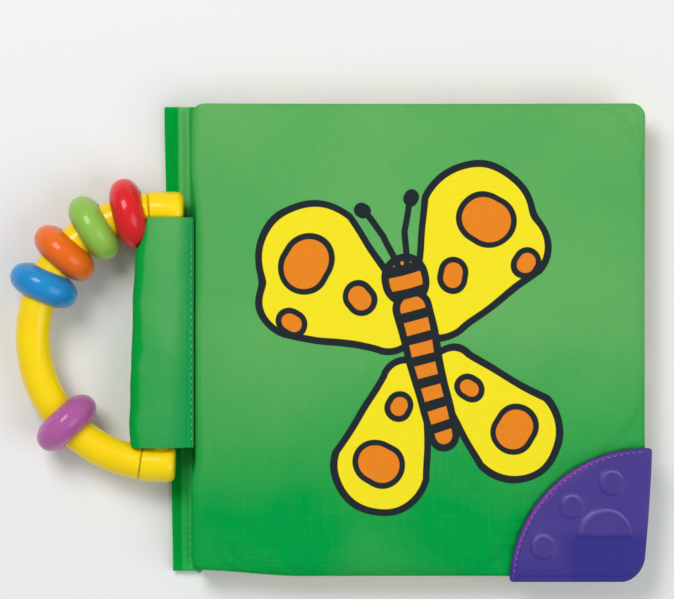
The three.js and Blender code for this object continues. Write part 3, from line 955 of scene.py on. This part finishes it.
def tape_form(across, along, side):
    """The folded tape: full in the middle, sunk along its stitches, rounded at its fold."""
    y = (2 * spaced(along, 1.0) - 1) * COVER_HALF
    head = (y + COVER_HALF) / (2 * COVER_HALF)
    width = TAPE["foot"] + (TAPE["head"] - TAPE["foot"]) * head
    reach = spaced(across, width + TAPE["right"])
    x = SPINE_X - width + reach + 0.25 * wavy(y * 0.06, 0, 9) * (1 - across)
    edge = min(reach, width + TAPE["right"] - reach, COVER_HALF - abs(y))
    half = TAPE["thick"] / 2
    z = TAPE["floor"] + half + side * (0.3 + (half - 0.3) * rounded(edge, 1.6))
    if side > 0:
        stitch = math.exp(-((x - stitch_x(y)) / 0.7) ** 2)
        fold = clamp((stitch_x(y) - 2.4 - x) / 1.2)
        z += 0.18 * wavy(y * 0.09, x * 0.2, 4) * rounded(edge, 3)
        z -= (0.45 * stitch + 0.8 * fold) * rounded(edge, 2)
    return (x, y, z), (x, y)


tape = soft_slab("tape_strip", 40, 150, tape_form, tape_green)
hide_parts("binding_tape")
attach(tape, "spine")
print("spine strip and tape made")

# %% [markdown]
# ## Handle sleeve
# The sleeve is a loop of cloth round the ring's bar, sewn to the spine along its right side. A circle is
# extruded along the bar, and its points go to a section that is flat on top, folded at the left and square
# at the seam, narrow at the head, where it hugs the bar, and leaning as the bar leans.

# %% Sleeve section
BAR_X = -95.9
RING_TILT = math.radians(-1.9)
RING_MIDDLE = (-96.9, 1.0, 13.1)
SLEEVE = {"foot": -40.1, "top": 7.6, "bottom": 9.2, "right": 12.0, "cloth": 0.9}
# Where the cloth ends, by the cosine of the turn round the bar: -1 is the left fold, which stops short of
# the first bead at the head and of the arch at the foot
HEAD_EDGE = [
    (-1.0, 33.2), (-0.85, 34.6), (-0.75, 35.9), (-0.6, 38.2), (-0.52, 43.0), (-0.45, 45.2), (1.0, 45.2)
]
FOOT_EDGE = [(-1.0, -37.9), (-0.96, -39.0), (-0.88, SLEEVE["foot"]), (1.0, SLEEVE["foot"])]
# Underneath, the head stops here, because the red bead swings below it
HEAD_UNDER = 33.0


def sleeve_left(y):
    """How far left of the bar the sleeve reaches, by height along the bar."""
    drawn = 1.7 * ease((y - 26) / 18) + 0.9 * ease((-30 - y) / 10)
    return 11.3 - drawn + 0.45 * wavy(y * 0.1, 2, 0)


def sleeve_section(turn, y):
    """One point of the sleeve's section, from the bar's axis."""
    c, s = math.cos(turn), math.sin(turn)
    power = 0.5 if c < 0 else 0.33
    x = math.copysign(abs(c) ** power, c) * (sleeve_left(y) if c < 0 else SLEEVE["right"])
    z = math.copysign(abs(s) ** power, s) * (SLEEVE["top"] if s > 0 else SLEEVE["bottom"])
    if s > 0:
        z -= 0.4 * math.exp(-((x - 9.9) / 0.45) ** 2) + 4.2 * ease((x - 3.0) / 9.0)
    return x, z


def sleeve_girth():
    """A table of the distance round the section, from its right middle, by turn."""
    table = []
    for way in (-1, 1):
        last, reach = sleeve_section(0, 0), 0.0
        for step in range(1, 181):
            turn = way * math.pi * step / 180
            here = sleeve_section(turn, 0)
            reach += math.dist(last, here)
            last = here
            table.append((turn, way * reach))
    return sorted(table)


# %% Sleeve


def sleeve_piece(segments=120, rings=70):
    bm = bmesh.new()
    row = bmesh.ops.create_circle(bm, cap_ends=False, radius=1, segments=segments)["verts"]
    rows, ring = [row], edges_of(row)
    for _ in range(rings):
        row, ring = extruded(bm, ring)
        rows.append(row)
    flat, girth = {}, sleeve_girth()
    for index, row in enumerate(rows):
        share = spaced(index / rings, 1.0)
        for vert in row:
            turn = math.atan2(vert.co.y, vert.co.x)
            head, foot = (along_table(table, math.cos(turn)) for table in (HEAD_EDGE, FOOT_EDGE))
            head += (min(head, HEAD_UNDER) - head) * ease(-math.sin(turn) / 0.35)
            y = foot + (head - foot) * share
            x, z = sleeve_section(turn, y)
            soft = 0.3 * wavy(x * 0.13, y * 0.08, z * 0.2)
            held = clamp((SLEEVE["right"] - x) / 6.0)
            lean = held * (RING_MIDDLE[1] - y) * math.tan(RING_TILT)
            flat[vert] = (along_table(girth, turn), y)
            vert.co = (BAR_X + x + lean + soft * held * 0.5, y, RING_MIDDLE[2] + z + max(soft, 0.0) * (z > 0))
    map_cloth(bm, flat, girth=girth[-1][1] - girth[0][1])
    piece = finished(bm, "sleeve_loop", [sleeve_green], merge=0)
    wall = piece.modifiers.new("cloth", "SOLIDIFY")
    wall.thickness, wall.offset = SLEEVE["cloth"] * MM, -1
    return baked(piece)


sleeve = sleeve_piece()
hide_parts("handle_sleeve")
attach(sleeve, "spine")
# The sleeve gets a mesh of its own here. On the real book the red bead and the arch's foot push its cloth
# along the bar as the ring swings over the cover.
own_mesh(sleeve)
print("sleeve", len(sleeve.data.polygons), "faces")

# %% [markdown]
# ## Teething ring
# The ring is two mouldings: a round arch, and a straight bar with an end cap at each end into which the
# arch's spigots plug. Tubes are circles spun about the ring's middle. Where they meet is a real gap.

# %% Ring measures
RING = {"radius": 47.2, "tube": 6.4, "bar": 4.5, "cap": 6.8, "run": 5.3, "reach": 7.2, "fillet": 2.6}
SPIGOT = {"radius": 3.6, "length": 5.6}
GAP = 0.3
joint_turn = math.asin(RING["run"] / RING["radius"])
ring_place = Matrix.Translation(RING_MIDDLE) @ Matrix.Rotation(RING_TILT, 4, "Z")


def tube_circle(bm, radius, turn):
    """A circle round the arch's line, at a turn that is counted from the head towards the left."""
    centre = Vector((-RING["radius"] * math.sin(turn), RING["radius"] * math.cos(turn), 0))
    stand = Matrix.Translation(centre) @ Matrix.Rotation(turn, 4, "Z") @ Matrix.Rotation(math.pi / 2, 4, "Y")
    return bmesh.ops.create_circle(bm, radius=radius, segments=36, matrix=stand)["verts"]


def spun(bm, geom, angle, steps):
    made = bmesh.ops.spin(bm, geom=geom, cent=(0, 0, 0), axis=(0, 0, 1), angle=angle, steps=steps)
    return made["geom_last"]


def close_ends(bm):
    """Fills the open ends and returns their faces."""
    bmesh.ops.holes_fill(bm, edges=open_loops(bm), sides=0)
    return [face for face in bm.faces if len(face.verts) > 4]


def push_end(bm, face, shoulder, way):
    """Draws an end face in by a shoulder, and pushes what is left of it out or in."""
    bmesh.ops.inset_individual(bm, faces=[face], thickness=shoulder)
    step = face.normal * way
    pushed = bmesh.ops.extrude_discrete_faces(bm, faces=[face])["faces"][0]
    bmesh.ops.translate(bm, verts=pushed.verts[:], vec=step)


def moulding(bm, name):
    """Stands a part of the ring in its place."""
    bmesh.ops.transform(bm, matrix=ring_place, verts=bm.verts)
    return finished(bm, name, [ring_yellow])


# %% Ring arch


def ring_arch():
    start = joint_turn + GAP / RING["radius"]
    bm = bmesh.new()
    tube_circle(bm, RING["tube"], start)
    spun(bm, bm.verts[:] + bm.edges[:], math.pi - 2 * start, 110)
    for face in close_ends(bm):
        push_end(bm, face, RING["tube"] - SPIGOT["radius"], SPIGOT["length"] + GAP)
    return moulding(bm, "arch")


arch = ring_arch()
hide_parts("ring_arch")
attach(arch, "ring")

# %% Ring bar with its caps


def ring_cap(bm):
    """One end cap: a short bend that goes on straight to a rounded end, and a socket in its other end."""
    points = tube_circle(bm, RING["cap"], joint_turn)
    grown = spun(bm, points + edges_of(points), -joint_turn, 6)
    loop = [g for g in grown if isinstance(g, bmesh.types.BMEdge)]
    straight, core = RING["reach"] - RING["fillet"], RING["cap"] - RING["fillet"]
    for step in range(9):
        turn = math.pi / 2 * step / 8
        out, radius = straight + RING["fillet"] * math.sin(turn), core + RING["fillet"] * math.cos(turn)
        points, loop = extruded(bm, loop)
        for vert in points:
            away = Vector((0, vert.co.y - RING["radius"], vert.co.z)).normalized() * radius
            vert.co = (out, RING["radius"] + away.y, away.z)
    ends = close_ends(bm)
    bmesh.ops.recalc_face_normals(bm, faces=bm.faces)
    mouth = min(ends, key=lambda face: face.calc_center_median().x)
    push_end(bm, mouth, RING["cap"] - SPIGOT["radius"] - GAP, -(SPIGOT["length"] + 2 * GAP))


def ring_bar():
    caps = []
    for flip in (0, math.pi):
        bm = bmesh.new()
        ring_cap(bm)
        bmesh.ops.rotate(bm, cent=(0, 0, 0), matrix=Matrix.Rotation(flip, 3, "X"), verts=bm.verts)
        caps.append(moulding(bm, "cap"))
    reach = RING["radius"] - SPIGOT["radius"] - 2 * GAP
    bm = bmesh.new()
    bmesh.ops.create_cone(
        bm, cap_ends=True, segments=36, radius1=RING["bar"], radius2=RING["bar"], depth=2 * reach,
        matrix=Matrix.Translation((1, 0, 0)) @ Matrix.Rotation(math.pi / 2, 4, "X"),
    )
    return combined(moulding(bm, "bar"), "UNION", *caps)


bar_piece = ring_bar()
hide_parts("ring_bar")
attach(bar_piece, "ring")
print("ring:", len(arch.data.polygons), "and", len(bar_piece.data.polygons), "faces")

# %% [markdown]
# ## Beads
# Each bead is a flattened ball threaded on the arch. A sphere is pressed flat, its poles are opened to the
# hole's width, and the two openings are joined by a wall with softened rims.

# %% Beads
BEAD = {"radius": 13.1, "half": 6.8, "bore": 7.0, "soft": 0.5, "rim": 0.25, "fullness": 2.3}
BEAD_TURNS = {
    "bead_red": 15.9, "bead_green": 33.3, "bead_orange": 50.7, "bead_blue": 68.1, "bead_purple": 134.6
}


def bead(name, turn):
    bm = bmesh.new()
    bmesh.ops.create_uvsphere(bm, u_segments=64, v_segments=44, radius=1)
    power = 2 / BEAD["fullness"]
    for vert in bm.verts:
        across = math.hypot(vert.co.x, vert.co.y)
        wider = BEAD["radius"] * across ** (power - 1) if across > 1e-6 else 0.0
        height = math.copysign(abs(vert.co.z) ** power, vert.co.z)
        vert.co = (vert.co.x * wider, vert.co.y * wider, height * BEAD["half"])
    polar = [v for v in bm.verts if math.hypot(v.co.x, v.co.y) < BEAD["bore"] + BEAD["soft"]]
    bmesh.ops.delete(bm, geom=polar, context="VERTS")
    inner, _ = extruded(bm, open_loops(bm))
    for vert in inner:
        flat = Vector((vert.co.x, vert.co.y, 0)).normalized() * BEAD["bore"]
        vert.co = (flat.x, flat.y, vert.co.z - math.copysign(BEAD["rim"], vert.co.z))
    bmesh.ops.bridge_loops(bm, edges=open_loops(bm))
    stand = Matrix.Translation((0, RING["radius"], 0)) @ Matrix.Rotation(math.pi / 2, 4, "Y")
    place = ring_place @ Matrix.Rotation(math.radians(turn), 4, "Z") @ stand
    bmesh.ops.transform(bm, matrix=place, verts=bm.verts)
    piece = finished(bm, name.replace("bead_", "") + "_bead", [bead_finish[name]])
    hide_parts(name)
    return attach(piece, name)


beads = [bead(name, turn) for name, turn in BEAD_TURNS.items()]
print("beads:", ", ".join(piece.name for piece in beads))

# %% [markdown]
# ## Teething corner
# The corner is one rubber moulding in a quarter disc: a thin lip over the cover's cloth, a raised field
# and low round buttons to chew. A grid of two sheets is laid out as arcs and spokes, and its height is
# built up from soft steps.

# %% Teether form
# Each button's place left of and above the corner, its radius, and whether only its upper half is there
BUTTONS = (
    (14.8, 37.0, 4.8, False), (29.6, 28.3, 4.6, False), (40.3, 13.4, 4.8, False), (16.6, 16.8, 10.7, True)
)
CORNER_ROUND = 9.2
TIP_ROUND = 1.5
SIDE_SLANT = 3.5


def soft_step(distance, width):
    """0 well outside an edge, 1 well inside it."""
    return ease(distance / width + 0.5)


def raised_ring(away, width):
    """1 on the ring that runs just inside a button's edge, falling off to both sides."""
    return math.exp(-((away - 0.75) / width) ** 2)


def teether_point(s, t):
    """A point of the quarter disc from its outer corner, and its distance to the edge."""
    arc = math.pi / 2 * (1 + spaced(s, 1.0))
    c, d = -math.cos(arc), math.sin(arc)
    inner = CORNER_ROUND * ((c + d) - math.sqrt(max((c + d) ** 2 - 1, 0.0)))
    off_x, off_y = (a - b for a, b in zip(ARC["centre"], TEETHER["corner"]))
    ahead = off_y * d - off_x * c
    outer = ahead + math.sqrt(ahead ** 2 - math.hypot(off_x, off_y) ** 2 + ARC["radius"] ** 2)
    reach = inner + spaced(t, outer - inner)
    tip = clamp(1 - (outer - reach) / TIP_ROUND)
    shy = TIP_ROUND * (1 - math.sqrt(max(1 - tip * tip, 0.0)))
    arc = math.pi / 2 + shy / reach + (arc - math.pi / 2) * (1 - 2 * shy / reach / (math.pi / 2))
    x, y = reach * math.cos(arc), reach * math.sin(arc)
    edge = min(-x, y, outer - reach)
    if -x < CORNER_ROUND and y < CORNER_ROUND:
        edge = min(edge, CORNER_ROUND - math.hypot(-x - CORNER_ROUND, y - CORNER_ROUND))
    return x, y, max(edge, 0.0), reach


def teether_height(x, y, edge):
    """The height of the upper skin above the moulding's top."""
    level = rounded(edge, 1.0) - 1 + 0.5 * soft_step(edge - 2.3, 0.7)
    for left, above, radius, half in BUTTONS:
        away = radius - math.hypot(x + left, y - above)
        if half:
            away = min(away, y - above)
        level += 0.6 * soft_step(away, 0.8) + 0.4 * raised_ring(away, 0.4)
    return level


def ring_highlight_share(x, y):
    """Painted highlight: 1 on the upper stretches of the raised rings, where light catches them most, 0
    elsewhere.
    """
    share = 0.0
    for left, above, radius, _ in BUTTONS:
        away = radius - math.hypot(x + left, y - above)
        share = max(share, ease((y - above) / radius + 0.1) * raised_ring(away, 0.45))
    return share


# %% Teether


def teether_piece():
    bm = bmesh.new()
    # A layer for the painted highlight on the raised rings
    ring_highlight = bm.verts.layers.float.new("ring_highlight")
    top = two_sheets(bm, 128, 104)
    for vert in bm.verts:
        x, y, edge, reach = teether_point(vert.co.x + 0.5, vert.co.y + 0.5)
        if vert in top:
            z = TEETHER["top"] + teether_height(x, y, edge)
            vert[ring_highlight] = ring_highlight_share(x, y)
        else:
            body = TEETHER["radius"] - TEETHER["lip"] - GAP - reach
            z = TEETHER["lip_bottom"] - (TEETHER["lip_bottom"] - TEETHER["bottom"]) * clamp(body / 0.4 + 1)
            z += 0.5 * (1 - rounded(edge, 0.5))
        below, beside = clamp(1 - y / TEETHER["radius"]), clamp(1 + x / TEETHER["radius"])
        x -= SIDE_SLANT * below ** 1.5 * beside ** 2
        vert.co = (TEETHER["corner"][0] + x, TEETHER["corner"][1] + y, z)
    return finished(bm, "teether", [teether_rubber])


teether = teether_piece()
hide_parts("teether_corner")
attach(teether, "front_cover")
print("teether", len(teether.data.polygons), "faces")

# %% [markdown]
# ## Stitches
# Each stitch is a short thread that dips into the cloth at both ends: a small stretched ball, repeated
# along a seam. A seam is one piece.

# %% Stitches
TAPE_SEAM = 172.0
SLEEVE_SEAM = 82.0
ARC_SEAM = (ARC["radius"] - 1.4) * (math.pi / 2 - 0.12)


def stitches(name, total, place, size, step, material, body):
    """A row of stitches. The place gives a point and a direction for a distance along the seam, and the size
    is a stitch's length and radius."""
    bm = bmesh.new()
    count = int(total / step)
    shape = Matrix.Diagonal((size[0] / 2, size[1], size[1], 1))
    for index in range(count):
        centre, direction = place((index + 0.5) * total / count)
        turn = Vector((1, 0, 0)).rotation_difference(Vector(direction)).to_matrix().to_4x4()
        stand = Matrix.Translation(centre) @ turn @ shape
        bmesh.ops.create_icosphere(bm, subdivisions=1, radius=1, matrix=stand)
    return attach(finished(bm, name, [material], merge=0), body)


def tape_line(distance):
    y = distance - TAPE_SEAM / 2
    return (stitch_x(y), y, TAPE["floor"] + TAPE["thick"] - 0.45), (-TAPE_SLANT, 1, 0)


def teether_arc(distance):
    reach = ARC["radius"] - 1.6
    turn = math.pi / 2 + 0.03 + distance / reach
    x, y = ARC["centre"][0] + reach * math.cos(turn), ARC["centre"][1] + reach * math.sin(turn)
    return (x, y, TEETHER["top"]), (-math.sin(turn), math.cos(turn), 0)


def sleeve_line(distance):
    y = SLEEVE["foot"] + 2 + distance
    x, z = sleeve_section(math.radians(43), y)
    return (BAR_X + x, y, RING_MIDDLE[2] + z + 0.05), (0, 1, 0)


stitches("tape_stitches", TAPE_SEAM, tape_line, (1.6, 0.25), 2.5, pale_thread, "spine")
stitches("teether_stitches", ARC_SEAM, teether_arc, (1.3, 0.26), 2.3, purple_thread, "front_cover")
sleeve_seam = stitches("sleeve_stitches", SLEEVE_SEAM, sleeve_line, (1.5, 0.22), 2.6, pale_thread, "spine")
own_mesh(sleeve_seam)
print("stitches made")

# %% [markdown]
# ## Floor and the end
# The floor is a plain pale sheet just under the book.

# %% Floor
floor_material, floor_shader = new_material("floor")
feed(floor_shader, {"Base Color": (0.86, 0.86, 0.86, 1), "Roughness": 0.9})
bm = bmesh.new()
bmesh.ops.create_grid(bm, x_segments=1, y_segments=1, size=3000)
bmesh.ops.translate(bm, vec=(0, 0, -0.3), verts=bm.verts)
floor = finished(bm, "floor", [floor_material], smooth=False)
